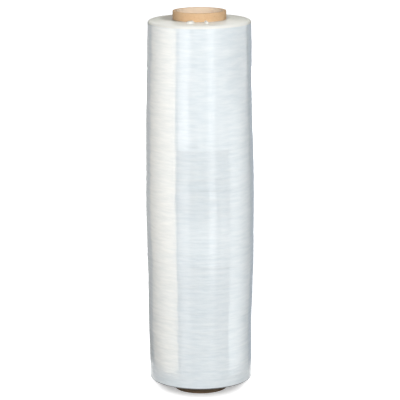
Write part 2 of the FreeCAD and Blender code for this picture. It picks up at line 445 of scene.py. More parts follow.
@dataclass(frozen=True)
class FilmFinish:
    """Hundreds of turns of clear film: milky, glossy and finely streaked round the roll.

    Lengths and places are in metres. Each pair whose name ends in fade holds where a change starts
    and where it is complete.
    """

    name: str = "wound_film"

    # The wall and its free end.
    milk: Colour = (0.765, 0.832, 0.865, 1.0)
    haze: Colour = (0.895, 0.94, 0.958, 1.0)
    free_edge: Colour = (0.52, 0.58, 0.62, 1.0)
    free_edge_fade: tuple[float, float] = (0.9 * MM, 0.3 * MM)
    free_edge_share: float = 0.6
    fine: Streaks = Streaks(330.0, 6.0, 2.8)
    mottle: Streaks = Streaks(429.0, 2.4, 1.6)
    coarse: Streaks = Streaks(82.5, 7.0, 2.4)
    coarse_share: float = 0.35

    # The end faces: turn edges, a painted light on the front rim, and painted shade near and behind the
    # core.
    end_milk: Colour = (0.70, 0.69, 0.61, 1.0)
    end_line: Colour = (0.62, 0.62, 0.55, 1.0)
    turn_pitch: float = 0.55 * MM
    wide_turns: float = 0.16
    edge_fade: tuple[float, float] = (0.36, 0.6)
    wide_edge_fade: tuple[float, float] = (0.35, 0.6)
    edge_share: float = 0.6
    painted_rim_light: Colour = (0.92, 0.91, 0.85, 1.0)
    rim_fade: tuple[float, float] = (29.0 * MM, 36.0 * MM)
    front_fade: tuple[float, float] = (0.0, -32.0 * MM)
    front_share: float = 0.95
    painted_core_shade: Colour = (0.17, 0.137, 0.10, 1.0)
    shade_place: tuple[float, float] = (-5.0 * MM, 11.0 * MM)
    shade_fade: tuple[float, float] = (32.0 * MM, 43.0 * MM)
    back_fade: tuple[float, float] = (-14.0 * MM, 26.0 * MM)
    back_share: float = 0.38
    shade_depth: float = 0.95

    # Painted shade on the side that faces down, by the upward part of its normal.
    underside_shade: Colour = (0.06, 0.06, 0.055, 1.0)
    underside_shade_fade: tuple[float, float] = (-0.08, -0.4)

    # The relief that bump gives.
    streak_height: float = 0.10 * MM
    fine_relief: float = 0.7
    coarse_relief: float = 1.4
    mottle_height: float = 0.09 * MM
    wrinkle_height: float = 0.22 * MM
    least_wrinkle: float = 0.25
    slack_fade: tuple[float, float] = (150.0 * MM, 50.0 * MM)
    wrinkles_round: float = 26.0
    wrinkles_up: float = 105.0
    wrinkle_lean: float = -32.0
    turn_height: float = 0.025 * MM

    # The gloss and what passes below it.
    smooth: float = 0.09
    dull: float = 0.2
    end_dullness: float = 0.3
    smears_per_metre: float = 14.0
    refraction: float = 1.5
    scatter: float = 0.35
    scatter_tint: tuple[float, float, float] = (1.0, 1.0, 1.0)
    scatter_reach: float = 5.0 * MM

    def build(self, effects: SharedEffects) -> bpy.types.Material:
        """Builds the material.

        Args:
            effects: the shared node groups.

        Returns:
            The film's material.
        """
        material = bpy.data.materials.new(self.name)
        material.use_nodes = True
        sheet = NodeSheet(material.node_tree)
        skin = material.node_tree.nodes["Principled BSDF"]
        coordinates = sheet.add("ShaderNodeTexCoord").outputs
        spot = coordinates["Object"]
        place = sheet.group(effects.place).outputs
        on_end = sheet.add("ShaderNodeAttribute", attribute_name=END_FACE).outputs["Fac"]
        fine, mottle, coarse = (
            layer.place(sheet, effects, spot) for layer in (self.fine, self.mottle, self.coarse)
        )
        edge, wide_edge = self.turn_lines(sheet, place["Radius"])

        wall_colour = self.wall_colour(sheet, spot, fine, coarse)
        end_colour = self.end_colour(sheet, spot, place["Radius"], edge, wide_edge)
        _, _, lean = sheet.parts(coordinates["Normal"])
        colour = sheet.blend(on_end, wall_colour, end_colour)
        # Painted shade on the side that faces down.
        colour = sheet.blend(sheet.share(lean, *self.underside_shade_fade), colour, self.underside_shade)
        sheet.feed(skin.inputs["Base Color"], colour)

        marks = sheet.group(effects.handling, Vector=spot, Scale=self.smears_per_metre, Amount=1.0)
        wall_rough = sheet.sum(self.smooth, sheet.times(marks.outputs["Mark"], self.dull - self.smooth))
        rough = sheet.math("ADD", wall_rough, sheet.times(on_end, self.end_dullness), clamp=True)
        sheet.feed(skin.inputs["Roughness"], rough)

        wall_height = self.wall_height(sheet, spot, place["Height"], (fine, mottle, coarse))
        end_height = sheet.times(sheet.sum(edge, wide_edge), self.turn_height)
        height = sheet.sum(
            sheet.times(wall_height, sheet.flip(on_end)),
            sheet.times(end_height, on_end),
        )
        sheet.feed(skin.inputs["Normal"], sheet.bump(sheet.times(height, 1 / MM), MM))
        skin.inputs["IOR"].default_value = self.refraction
        skin.inputs["Subsurface Weight"].default_value = self.scatter
        skin.inputs["Subsurface Radius"].default_value = self.scatter_tint
        skin.inputs["Subsurface Scale"].default_value = self.scatter_reach
        return material

    def turn_lines(self, sheet: NodeSheet, radius: Socket) -> tuple[Socket, Socket]:
        """The edges of the turns on an end face, as noise that changes with the radius alone.

        Args:
            sheet: the sheet on the material's tree.
            radius: the distance from the axis.

        Returns:
            The fine edges and the wide ones.
        """
        layer = sheet.math("DIVIDE", radius, self.turn_pitch)
        wide_layer = sheet.times(layer, self.wide_turns)
        fine_edge = sheet.noise(sheet.vector(layer, 0.0, 0.0), 1.0, detail=2.0)
        return fine_edge, sheet.noise(sheet.vector(wide_layer, 0.0, 0.0), 1.0, detail=1.0)

    def wall_colour(self, sheet: NodeSheet, spot: Socket, fine: Socket, coarse: Socket) -> Socket:
        """The wall's colour: milky, with hazy streaks and the thin line of the free end.

        Args:
            sheet: the sheet on the material's tree.
            spot: the place in object coordinates.
            fine: the fine streaks.
            coarse: the coarse streaks.

        Returns:
            The colour's socket.
        """
        east, north, _ = sheet.parts(spot)
        lap = math.radians(LAP_BEARING)
        aside = sheet.less(sheet.times(east, math.sin(lap)), sheet.times(north, math.cos(lap)))
        ahead = sheet.sum(sheet.times(east, math.cos(lap)), sheet.times(north, math.sin(lap)))
        near_edge = sheet.share(sheet.math("ABSOLUTE", aside), *self.free_edge_fade)
        free_end = sheet.times(near_edge, sheet.math("GREATER_THAN", ahead, 0.0))
        streaked = sheet.sum(
            sheet.times(coarse, self.coarse_share),
            sheet.times(fine, 1.0 - self.coarse_share),
        )
        colour = sheet.blend(streaked, self.milk, self.haze)
        return sheet.blend(sheet.times(free_end, self.free_edge_share), colour, self.free_edge)

    def end_colour(
        self, sheet: NodeSheet, spot: Socket, radius: Socket, edge: Socket, wide_edge: Socket
    ) -> Socket:
        """The end face's colour: lined by the turns, with painted light in front and painted shade near and
        behind the core.

        Args:
            sheet: the sheet on the material's tree.
            spot: the place in object coordinates.
            radius: the distance from the axis.
            edge: the fine edges of the turns.
            wide_edge: the wide ones.

        Returns:
            The colour's socket.
        """
        east, north, _ = sheet.parts(spot)
        lines = sheet.sum(
            sheet.times(sheet.share(edge, *self.edge_fade), self.edge_share),
            sheet.times(sheet.share(wide_edge, *self.wide_edge_fade), 1.0 - self.edge_share),
        )
        colour = sheet.blend(lines, self.end_line, self.end_milk)
        # Painted light: the front part of the rim is lighter, as if lit from the front.
        lit = sheet.times(
            sheet.share(radius, *self.rim_fade),
            sheet.share(north, *self.front_fade, 0.0, self.front_share),
        )
        colour = sheet.blend(lit, colour, self.painted_rim_light)
        # Painted shade: darker near and behind the core as its shadow, and darker over the back half.
        apart = sheet.reach(sheet.less(east, self.shade_place[0]), sheet.less(north, self.shade_place[1]))
        shaded = sheet.math(
            "MAXIMUM",
            sheet.share(apart, *self.shade_fade, 1.0, 0.0),
            sheet.share(north, *self.back_fade, 0.0, self.back_share),
        )
        return sheet.blend(sheet.times(shaded, self.shade_depth), colour, self.painted_core_shade)

    def wall_height(
        self, sheet: NodeSheet, spot: Socket, height: Socket, streaks: tuple[Socket, Socket, Socket]
    ) -> Socket:
        """The wall's relief: streaks and mottle, and slack wrinkles that are strongest low down.

        Args:
            sheet: the sheet on the material's tree.
            spot: the place in object coordinates.
            height: the height above the floor.
            streaks: the fine streaks, the mottle and the coarse streaks.

        Returns:
            The relief in metres.
        """
        fine, mottle, coarse = streaks
        low = sheet.share(height, *self.slack_fade)
        strength = sheet.sum(
            sheet.times(low, self.wrinkle_height), self.wrinkle_height * self.least_wrinkle
        )
        x, y, z = sheet.parts(spot)
        climb = sheet.sum(sheet.times(z, self.wrinkles_up), sheet.times(x, self.wrinkle_lean))
        slanted = sheet.vector(
            sheet.times(x, self.wrinkles_round), sheet.times(y, self.wrinkles_round), climb
        )
        wrinkle = sheet.noise(slanted, 1.0, detail=3.0, roughness=0.55)
        streaked = sheet.sum(sheet.times(fine, self.fine_relief), sheet.times(coarse, self.coarse_relief))
        return sheet.sum(
            sheet.times(streaked, self.streak_height),
            sheet.times(mottle, self.mottle_height),
            sheet.times(wrinkle, strength),
        )


@dataclass(frozen=True)
class KraftFinish:
    """Spirally wound kraft paperboard: tan, matt, flecked, with its plies showing on the cut ends.

    Lengths are in metres. Each pair whose name ends in fade holds where a change starts and where it
    is complete. Each pair whose name ends in beyond_bore is such a pair too, from the bore outwards.
    """

    name: str = "kraft_paperboard"
    tan: Colour = (0.70, 0.44, 0.245, 1.0)
    pale: Colour = (0.80, 0.56, 0.335, 1.0)
    fibres: Streaks = Streaks(1500.0, 5.0, 2.4)
    fibre_share: float = 0.5
    clouds_per_metre: float = 90.0
    fleck: Colour = (0.40, 0.245, 0.125, 1.0)
    flecks_per_metre: float = 900.0
    fleck_fade: tuple[float, float] = (0.6, 0.72)
    fleck_share: float = 0.55
    wear_per_metre: float = 60.0
    wear_amount: float = 0.7
    wear_share: float = 0.35

    # Painted light: the bore is painted paler, against the shade inside the tube.
    bore: Colour = (0.79, 0.69, 0.57, 1.0)
    bore_radius: float = 25.4 * MM
    bore_light_beyond_bore: tuple[float, float] = (0.9 * MM, 0.3 * MM)
    upright_fade: tuple[float, float] = (0.8, 0.4)
    bore_share: float = 0.8

    # The glue lines between the plies, on the cut ends.
    ply_pitch: float = 0.42 * MM
    ply_waver: float = 0.12 * MM
    glue_fade: tuple[float, float] = (0.78, 0.95)
    cut_fade: tuple[float, float] = (0.7, 0.9)
    glue_share: float = 0.5

    # The painted shade on the foot, which stands out below the film, where the film's shadow falls.
    painted_foot_shade: Colour = (0.10, 0.075, 0.055, 1.0)
    foot_shade_share: float = 0.75
    foot_fade: tuple[float, float] = (13.0 * MM, 7.15 * MM)
    outside_beyond_bore: tuple[float, float] = (0.5 * MM, 1.5 * MM)

    roughness: float = 0.78
    fibre_roughness: float = 0.14
    fibre_height: float = 0.06 * MM
    cloud_relief: float = 0.6
    glue_relief: float = -1.2
    shine: float = 0.3

    def build(self, effects: SharedEffects) -> bpy.types.Material:
        """Builds the material.

        Args:
            effects: the shared node groups.

        Returns:
            The core's material.
        """
        material = bpy.data.materials.new(self.name)
        material.use_nodes = True
        sheet = NodeSheet(material.node_tree)
        skin = material.node_tree.nodes["Principled BSDF"]
        spot = sheet.add("ShaderNodeTexCoord").outputs["Object"]
        place = sheet.group(effects.place).outputs
        radius, up = place["Radius"], place["Upward"]
        fibres = self.fibres.place(sheet, effects, spot)
        cloud = sheet.noise(spot, self.clouds_per_metre, detail=3.0)
        fleck_noise = sheet.noise(spot, self.flecks_per_metre, detail=2.0, roughness=0.7)
        flecks = sheet.share(fleck_noise, *self.fleck_fade)
        wear = sheet.group(
            effects.handling, Vector=spot, Scale=self.wear_per_metre, Amount=self.wear_amount
        )
        worn = wear.outputs["Mark"]
        mixed = sheet.sum(
            sheet.times(fibres, self.fibre_share), sheet.times(cloud, 1.0 - self.fibre_share)
        )
        paper = sheet.blend(mixed, self.tan, self.pale)
        paper = sheet.blend(sheet.times(flecks, self.fleck_share), paper, self.fleck)
        paper = sheet.blend(sheet.times(worn, self.wear_share), paper, self.pale)

        # Painted light on the upright wall of the bore.
        inside = sheet.share(radius, *(self.bore_radius + step for step in self.bore_light_beyond_bore))
        bore_light = sheet.times(inside, sheet.share(up, *self.upright_fade), self.bore_share)
        paper = sheet.blend(bore_light, paper, self.bore)

        wavering = sheet.sum(radius, sheet.times(cloud, self.ply_waver))
        ply = sheet.math("FRACT", sheet.math("DIVIDE", wavering, self.ply_pitch))
        glue = sheet.times(sheet.share(ply, *self.glue_fade), sheet.share(up, *self.cut_fade))
        paper = sheet.blend(sheet.times(glue, self.glue_share), paper, self.fleck)

        # Painted shade: the foot below the film is darkened as the film's shadow.
        foot = sheet.share(place["Height"], *self.foot_fade)
        outside = sheet.share(radius, *(self.bore_radius + step for step in self.outside_beyond_bore))
        paper = sheet.blend(sheet.times(foot, outside, self.foot_shade_share), paper, self.painted_foot_shade)
        sheet.feed(skin.inputs["Base Color"], paper)

        rough = sheet.sum(self.roughness, sheet.times(fibres, self.fibre_roughness))
        sheet.feed(skin.inputs["Roughness"], rough)
        height = sheet.sum(
            fibres, sheet.times(cloud, self.cloud_relief), sheet.times(glue, self.glue_relief)
        )
        sheet.feed(skin.inputs["Normal"], sheet.bump(height, self.fibre_height))
        skin.inputs["Specular IOR Level"].default_value = self.shine
        return material


def evaluate_piece(name: str, sheet: NodeSheet, values: dict[str, Input], body: str) -> bpy.types.Object:
    """Runs a geometry tree once and keeps its result as a plain mesh that rides on a body.

    Args:
        name: the finished piece's name.
        sheet: the sheet on the geometry tree.
        values: the value of each named input.
        body: the CAD body that the piece rides on.

    Returns:
        The finished object, at the origin, with closed outward faces.
    """
    carrier = bpy.data.objects.new(f"{name}_tree", bpy.data.meshes.new(f"{name}_tree"))
    bpy.context.scene.collection.objects.link(carrier)
    modifier = carrier.modifiers.new("build", "NODES")
    modifier.node_group = sheet.tree
    for item in sheet.tree.interface.items_tree:
        if item.item_type == "SOCKET" and item.in_out == "INPUT" and item.name in values:
            modifier[item.identifier] = values[item.name]
    bpy.context.view_layer.update()
    evaluated = carrier.evaluated_get(bpy.context.evaluated_depsgraph_get())
    mesh = bpy.data.meshes.new_from_object(evaluated)
    mesh.name = name
    carrier.modifiers.clear()
    bpy.data.objects.remove(carrier)
    turn_outwards(mesh)
    piece = bpy.data.objects.new(name, mesh)
    bpy.context.scene.collection.objects.link(piece)
    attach(piece, body)
    return piece


def turn_outwards(mesh: bpy.types.Mesh) -> None:
    """Merges doubled points, turns every face outwards and shades the mesh smooth up to its edges.

    Args:
        mesh: the mesh to change.
    """
    work = bmesh.new()
    work.from_mesh(mesh)
    bmesh.ops.remove_doubles(work, verts=work.verts, dist=DOUBLED)
    bmesh.ops.recalc_face_normals(work, faces=work.faces)
    work.to_mesh(mesh)
    work.free()
    mesh.shade_smooth()
    mesh.set_sharp_from_angle(angle=math.radians(SHARP_ANGLE))


@dataclass(frozen=True)
class GridStart:
    """What a geometry tree starts from: its sizes, its grid, and each point's place in the grid.

    A stretch is a socket that goes from 0 at the first of its rows to 1 at the last.
    """

    size: Sizes
    mesh: Socket
    column: Socket
    stretches: list[Socket]


class GridPart:
    """A part whose mesh is one grid, bent into a closed ring section.

    The grid's columns go round the roll, and its rows go once round the section, in stretches.
    SIZE_NAMES lists the sizes that are inputs of the tree.
    """

    SIZE_NAMES: tuple[str, ...] = ()
    columns: int
    rows: tuple[int, ...]

    def sizes(self) -> dict[str, float]:
        """The value of each input of the tree."""
        return {name: float(getattr(self, name)) for name in self.SIZE_NAMES}

    def start_tree(self, title: str) -> tuple[NodeSheet, GridStart]:
        """Starts a geometry tree with the sizes as inputs and a flat grid.

        Args:
            title: the tree's name.

        Returns:
            The sheet on the tree, and what its formulas start from.
        """
        names = [(name, "Float") for name in self.SIZE_NAMES]
        sheet = new_group(title, "GeometryNodeTree", names, [("Geometry", "Geometry")])
        size = sheet.add("NodeGroupInput").outputs
        total = sum(self.rows)
        grid = sheet.add("GeometryNodeMeshGrid")
        extent = {"Size X": 1.0, "Size Y": 1.0, "Vertices X": self.columns + 1, "Vertices Y": total + 1}
        for name, value in extent.items():
            grid.inputs[name].default_value = value
        x, y, _ = sheet.parts(sheet.add("GeometryNodeInputPosition").outputs[0])
        column = sheet.math("ROUND", sheet.times(sheet.sum(x, 0.5), float(self.columns)))
        row = sheet.math("ROUND", sheet.times(sheet.sum(y, 0.5), float(total)))
        stretches, start = [], 0
        for count in self.rows:
            along = sheet.less(row, float(start))
            stretches.append(sheet.math("DIVIDE", along, float(count), clamp=True))
            start += count
        return sheet, GridStart(size, grid.outputs["Mesh"], column, stretches)

    def end_tree(
        self, sheet: NodeSheet, geometry: Socket, where: Socket, finish: bpy.types.Material
    ) -> None:
        """Ends a geometry tree: bends the grid, closes its seams and gives it its material.

        Args:
            sheet: the sheet on the tree.
            geometry: the grid.
            where: each point's place.
            finish: the material.
        """
        placed = sheet.add("GeometryNodeSetPosition")
        merged = sheet.add("GeometryNodeMergeByDistance")
        realized = sheet.add("GeometryNodeRealizeInstances")
        dressed = sheet.add("GeometryNodeSetMaterial")
        out = sheet.add("NodeGroupOutput")
        sheet.feed(placed.inputs["Geometry"], geometry)
        sheet.feed(placed.inputs["Position"], where)
        sheet.feed(merged.inputs["Geometry"], placed.outputs[0])
        sheet.feed(merged.inputs["Distance"], SEAM_WIDTH)
        sheet.feed(realized.inputs["Geometry"], merged.outputs[0])
        sheet.feed(dressed.inputs["Geometry"], realized.outputs[0])
        sheet.feed(dressed.inputs["Material"], finish)
        sheet.feed(out.inputs[0], dressed.outputs[0])


@dataclass(frozen=True)
class HoopBand:
    """A ridge or, with a negative rise, a waist round the film."""

    height: float
    rise: float
    spread: float


@dataclass(frozen=True)
class HoopLedge:
    """The lower edge of a tighter stretch of film: a small ledge whose rise fades out above it."""

    height: float
    rise: float
    run: float


@dataclass(frozen=True)
class WallNoise:
    """Noise over the wall: its scale on a circle of radius 1, and how fast it changes upwards."""

    scale: float
    climb: float
    detail: float = 2.0
    roughness: float = 0.5

    def read(self, sheet: NodeSheet, east: Input, north: Input, height: Socket) -> Socket:
        """Reads the noise at a place on the wall.

        Args:
            sheet: the sheet on the tree.
            east: cosine of the bearing, or a number made from it.
            north: sine of the bearing, or a number made from it.
            height: the height above the film's lower end.

        Returns:
            A value about 0.5.
        """
        spot = sheet.vector(east, north, sheet.times(height, self.climb))
        return sheet.noise(spot, self.scale, self.detail, self.roughness)


@dataclass
class WoundFilm(GridPart):
    """The film, and its two folds against the core on the upper end: one web, wound from the core.

    Lengths are in millimetres, and heights are measured from the film's lower end.
    """

    inner_radius: float = 29.12
    width: float = 400.0
    lift: float = 12.4
    bottom_radius: float = 56.2
    belly_radius: float = 59.2
    top_radius: float = 56.0
    belly_height: float = 208.0
    taper_power: float = 1.2
    bottom_rim: float = 1.8
    top_rim: float = 3.4
    lap_step: float = 0.3
    lap_bearing: float = LAP_BEARING
    lap_sharpness: float = 0.0004
    dome: float = 0.9
    turn_pitch: float = 2.3
    turn_relief: float = 0.04
    ridge_share: float = 0.35
    slack: float = 0.25
    slack_noise: WallNoise = WallNoise(1.6, 0.018)
    ripple: float = 0.16
    ripple_noise: WallNoise = WallNoise(1.0, 0.24, 3.0, 0.62)
    ripple_stretch: float = 0.7
    hoop_noise: WallNoise = WallNoise(1.5, 0.02)
    hoop_fade: tuple[float, float] = (0.3, 0.6)
    least_hoop: float = 0.6
    wobble_scale: float = 1.3
    wobble_seeds: float = 3.1
    # Near its ends the wall is calmer: over how many millimetres, and how much is left there.
    calm_bottom: tuple[float, float] = (12.0, 0.3)
    calm_top: tuple[float, float] = (14.0, 0.2)
    turn_calm: float = 0.06
    turn_noise_scale: float = 0.9
    seed: float = 7.3
    columns: int = 180
    # Rows up the inside, over the upper end, round its rim, down the wall, round and under.
    rows: tuple[int, ...] = (1, 52, 8, 440, 6, 34)
    # How far round the upper and the lower rim the finish of the end faces reaches.
    end_limits: tuple[float, float] = (0.97, 0.35)
    # Height and lean to the left of the axis, and the whole range of lean that the curve holds.
    sway_span: float = 4.0
    sway: tuple[tuple[float, float], ...] = (
        (0, 0.05), (25, 0.2), (60, 0.6), (95, 0.2), (130, -0.05), (190, 0.25), (245, 0.32), (305, 0.78),
        (350, 0.42), (400, 0.12),
    )
    bands: tuple[HoopBand, ...] = (
        HoopBand(360, -0.12, 5.0),
        HoopBand(323, 0.16, 4.0),
        HoopBand(306, 0.14, 3.0),
        HoopBand(236.5, 0.20, 2.2),
        HoopBand(225.3, 0.28, 2.2),
        HoopBand(200, -0.12, 5.0),
        HoopBand(141, 0.16, 3.0),
        HoopBand(113, -0.14, 4.0),
        HoopBand(85, 0.12, 4.0),
        HoopBand(51, 0.10, 5.0),
    )
    ledges: tuple[HoopLedge, ...] = (HoopLedge(265.3, 0.16, 12.0), HoopLedge(222.5, 0.06, 6.0))
    # The bearing and half of the length of each fold, and the folds' form.
    puckers: tuple[tuple[float, float], ...] = ((-105.7, 3.7), (-78.0, 2.0))
    pucker_reach: float = 12.0
    pucker_rise: float = 2.4
    pucker_clearance: float = 0.1
    pucker_taper: float = 0.15
    pucker_flatness: float = 0.7
    pucker_fullness: float = 0.8
    pucker_sink: float = 0.4
    pucker_seat: float = 0.9
    crest_change: float = 0.1
    crest_turns: float = 4.3
    crest_shift: float = 1.7

    SIZE_NAMES = (
        "inner_radius", "width", "lift", "bottom_radius", "belly_radius", "top_radius", "belly_height",
        "taper_power", "bottom_rim", "top_rim", "lap_step", "lap_bearing", "lap_sharpness", "dome",
        "turn_pitch", "turn_relief", "slack", "ripple", "seed",
    )

    @classmethod
    def from_frame(cls) -> "WoundFilm":
        """Reads how high the film sits on the core from the CAD solids."""
        low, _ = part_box("film_roll")
        return cls(lift=low.z / MM)

    def build(self, finish: bpy.types.Material) -> list[bpy.types.Object]:
        """Builds the wound film and its folds.

        Args:
            finish: the film's material.

        Returns:
            The finished pieces.
        """
        film = evaluate_piece("wound_film", self.tree(finish), self.sizes(), "root")
        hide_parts("film_roll")
        folds = [self.pucker(n, bearing, half, finish) for n, (bearing, half) in enumerate(self.puckers)]
        return [film, *folds]

    def tree(self, finish: bpy.types.Material) -> NodeSheet:
        """Builds the geometry tree that winds the film.

        A grid is bent into a closed ring section. Its columns go round the roll, from the film's
        free end to the same bearing again, and its rows go up the inside, out over the upper end,
        round the rim, down the wall, and back in under the lower end.

        Args:
            finish: the film's material.

        Returns:
            A sheet on the tree.
        """
        sheet, grid = self.start_tree("wind_film")
        size = grid.size
        inside, upper, upper_rim, wall, lower_rim, lower = grid.stretches
        turn, wound = self.turns(sheet, grid)
        bearing = sheet.sum(sheet.times(turn, math.tau), sheet.times(size["lap_bearing"], math.pi / 180))
        east, north = sheet.math("COSINE", bearing), sheet.math("SINE", bearing)

        wall_length = sheet.less(size["width"], sheet.sum(size["top_rim"], size["bottom_rim"]))
        height = sheet.less(sheet.less(size["width"], size["top_rim"]), sheet.times(wall, wall_length))
        outer = sheet.sum(
            self.barrel(sheet, size, height),
            sheet.times(size["lap_step"], wound),
            sheet.times(self.sway_curve(sheet, height), sheet.times(east, -1.0)),
            self.unevenness(sheet, size, east, north, height),
        )
        above, below = sheet.times(upper_rim, QUARTER), sheet.times(lower_rim, QUARTER)
        rim_in = sheet.sum(
            sheet.times(size["top_rim"], sheet.flip(sheet.math("SINE", above))),
            sheet.times(size["bottom_rim"], sheet.flip(sheet.math("COSINE", below))),
        )
        reach = sheet.less(sheet.less(outer, rim_in), size["inner_radius"])
        spread = sheet.times(upper, sheet.flip(lower))
        radius = sheet.sum(size["inner_radius"], sheet.times(reach, spread))

        on_upper = sheet.times(inside, sheet.flip(upper_rim))
        on_lower = sheet.math("GREATER_THAN", lower_rim, COMPLETE)
        edges = self.turn_edges(sheet, size, radius, turn, spread)
        level = sheet.sum(
            sheet.times(size["width"], inside),
            sheet.times(size["top_rim"], sheet.less(sheet.math("COSINE", above), 1.0)),
            sheet.times(wall_length, wall, -1.0),
            sheet.times(size["bottom_rim"], sheet.math("SINE", below), -1.0),
            sheet.times(size["dome"], sheet.flip(sheet.times(spread, spread))),
            sheet.times(edges, sheet.less(on_upper, on_lower)),
            size["lift"],
        )
        where = sheet.vector(
            sheet.times(radius, east, MM), sheet.times(radius, north, MM), sheet.times(level, MM)
        )
        upper_limit, lower_limit = self.end_limits
        end_face = sheet.sum(
            sheet.times(inside, sheet.math("LESS_THAN", upper_rim, upper_limit)),
            sheet.math("GREATER_THAN", lower_rim, lower_limit),
        )
        marked = sheet.add("GeometryNodeStoreNamedAttribute", data_type="FLOAT", domain="POINT")
        sheet.feed(marked.inputs["Name"], END_FACE)
        sheet.feed(marked.inputs["Geometry"], grid.mesh)
        sheet.feed(marked.inputs["Value"], end_face)
        self.end_tree(sheet, marked.outputs[0], where, finish)
        return sheet

    def turns(self, sheet: NodeSheet, grid: GridStart) -> tuple[Socket, Socket]:
        """How far round from the free end each column is.

        The column before the last stands just short of a full turn, so that the lap is a sharp step.

        Args:
            sheet: the sheet on the tree.
            grid: what the tree starts from.

        Returns:
            The bearing in turns, and the same number with 0 in place of 1 at the last column.
        """
        last = sheet.math("GREATER_THAN", grid.column, self.columns - 0.5)
        before_lap = sheet.math(
            "MINIMUM",
            sheet.times(grid.column, 1 / (self.columns - 1)),
            sheet.flip(grid.size["lap_sharpness"]),
        )
        turn = sheet.sum(sheet.times(before_lap, sheet.flip(last)), last)
        return turn, sheet.times(turn, sheet.flip(last))

    def barrel(self, sheet: NodeSheet, size: Sizes, height: Socket) -> Socket:
        """The wall's plain radius: eased up to the belly, and tapered above it.

        Args:
            sheet: the sheet on the tree.
            size: the tree's named inputs.
            height: the height above the film's lower end.

        Returns:
            The radius.
        """
        belly = size["belly_height"]
        short = sheet.flip(sheet.math("DIVIDE", height, belly, clamp=True))
        ease = sheet.times(sheet.flip(sheet.math("COSINE", sheet.times(short, math.pi))), 0.5)
        past = sheet.less(height, belly)
        over = sheet.math("DIVIDE", past, sheet.less(size["width"], belly), clamp=True)
        taper = sheet.math("POWER", over, size["taper_power"])
        return sheet.less(
            size["belly_radius"],
            sheet.sum(
                sheet.times(sheet.less(size["belly_radius"], size["bottom_radius"]), ease),
                sheet.times(sheet.less(size["belly_radius"], size["top_radius"]), taper),
            ),
        )

    def sway_curve(self, sheet: NodeSheet, height: Socket) -> Socket:
        """How far the winding leans to the left of the axis.

        Args:
            sheet: the sheet on the tree.
            height: the height above the film's lower end.

        Returns:
            The lean in millimetres.
        """
        node = sheet.add("ShaderNodeFloatCurve")
        curve = node.mapping.curves[0]
        while len(curve.points) < len(self.sway):
            curve.points.new(0.5, 0.5)
        for point, (up, lean) in zip(curve.points, self.sway):
            point.location = (up / self.width, 0.5 + lean / self.sway_span)
        node.mapping.update()
        sheet.feed(node.inputs["Value"], sheet.math("DIVIDE", height, self.width))
        return sheet.times(sheet.less(node.outputs[0], 0.5), self.sway_span)

    def unevenness(
        self, sheet: NodeSheet, size: Sizes, east: Socket, north: Socket, height: Socket
    ) -> Socket:
        """What uneven winding adds to the wall: hoop bands, slack places and a fine ripple.

        Args:
            sheet: the sheet on the tree.
            size: the tree's named inputs.
            east: cosine of the bearing.
            north: sine of the bearing.
            height: the height above the film's lower end.

        Returns:
            The added radius in millimetres.
        """
        seed = size["seed"]
        wobble_spot = sheet.vector(east, north, sheet.times(seed, self.wobble_seeds))
        wavy = sheet.sum(height, sheet.centred(sheet.noise(wobble_spot, self.wobble_scale)))
        hoops: Input = 0.0
        for band in self.bands:
            off = sheet.times(sheet.less(wavy, band.height), 1 / band.spread)
            bell = sheet.math("EXPONENT", sheet.times(off, off, -1.0))
            hoops = sheet.sum(hoops, sheet.times(bell, band.rise))
        for ledge in self.ledges:
            over = sheet.less(wavy, ledge.height)
            fading = sheet.math("EXPONENT", sheet.times(over, -1.0 / ledge.run))
            above = sheet.math("GREATER_THAN", over, 0.0)
            hoops = sheet.sum(hoops, sheet.times(fading, above, ledge.rise))
        patchy = self.hoop_noise.read(sheet, east, north, height)
        slack = self.slack_noise.read(sheet, sheet.sum(east, seed), north, height)
        stretched = sheet.times(east, self.ripple_stretch)
        ripple = self.ripple_noise.read(sheet, stretched, sheet.sum(north, seed), height)
        added = sheet.sum(
            sheet.times(hoops, sheet.share(patchy, *self.hoop_fade, self.least_hoop, 1.0)),
            sheet.times(sheet.centred(slack), size["slack"]),
            sheet.times(sheet.centred(ripple), size["ripple"]),
        )
        top = size["width"]
        (bottom_reach, bottom_left), (top_reach, top_left) = self.calm_bottom, self.calm_top
        calm = sheet.times(
            sheet.share(height, 0.0, bottom_reach, bottom_left, 1.0),
            sheet.share(height, top, sheet.less(top, top_reach), top_left, 1.0),
        )
        return sheet.times(added, calm)

    def turn_edges(
        self, sheet: NodeSheet, size: Sizes, radius: Socket, turn: Socket, spread: Socket
    ) -> Socket:
        """The edges of the turns, which spiral over an end face.

        Args:
            sheet: the sheet on the tree.
            size: the tree's named inputs.
            radius: the distance from the axis in millimetres.
            turn: the bearing from the free end, in turns.
            spread: the share of the way from the core to the rim.

        Returns:
            The height in millimetres, 0 at the core and at the rim.
        """
        layer = sheet.math("DIVIDE", radius, size["turn_pitch"])
        ridge = sheet.math("SINE", sheet.times(sheet.less(layer, turn), math.tau))
        spot = sheet.vector(layer, size["seed"], 0.0)
        layers = sheet.noise(spot, self.turn_noise_scale, detail=2.0)
        calm = sheet.times(
            sheet.share(spread, 0.0, self.turn_calm),
            sheet.share(spread, 1.0, 1.0 - self.turn_calm),
        )
        uneven = sheet.sum(sheet.centred(layers), sheet.times(ridge, self.ridge_share))
        return sheet.times(uneven, size["turn_relief"], calm)

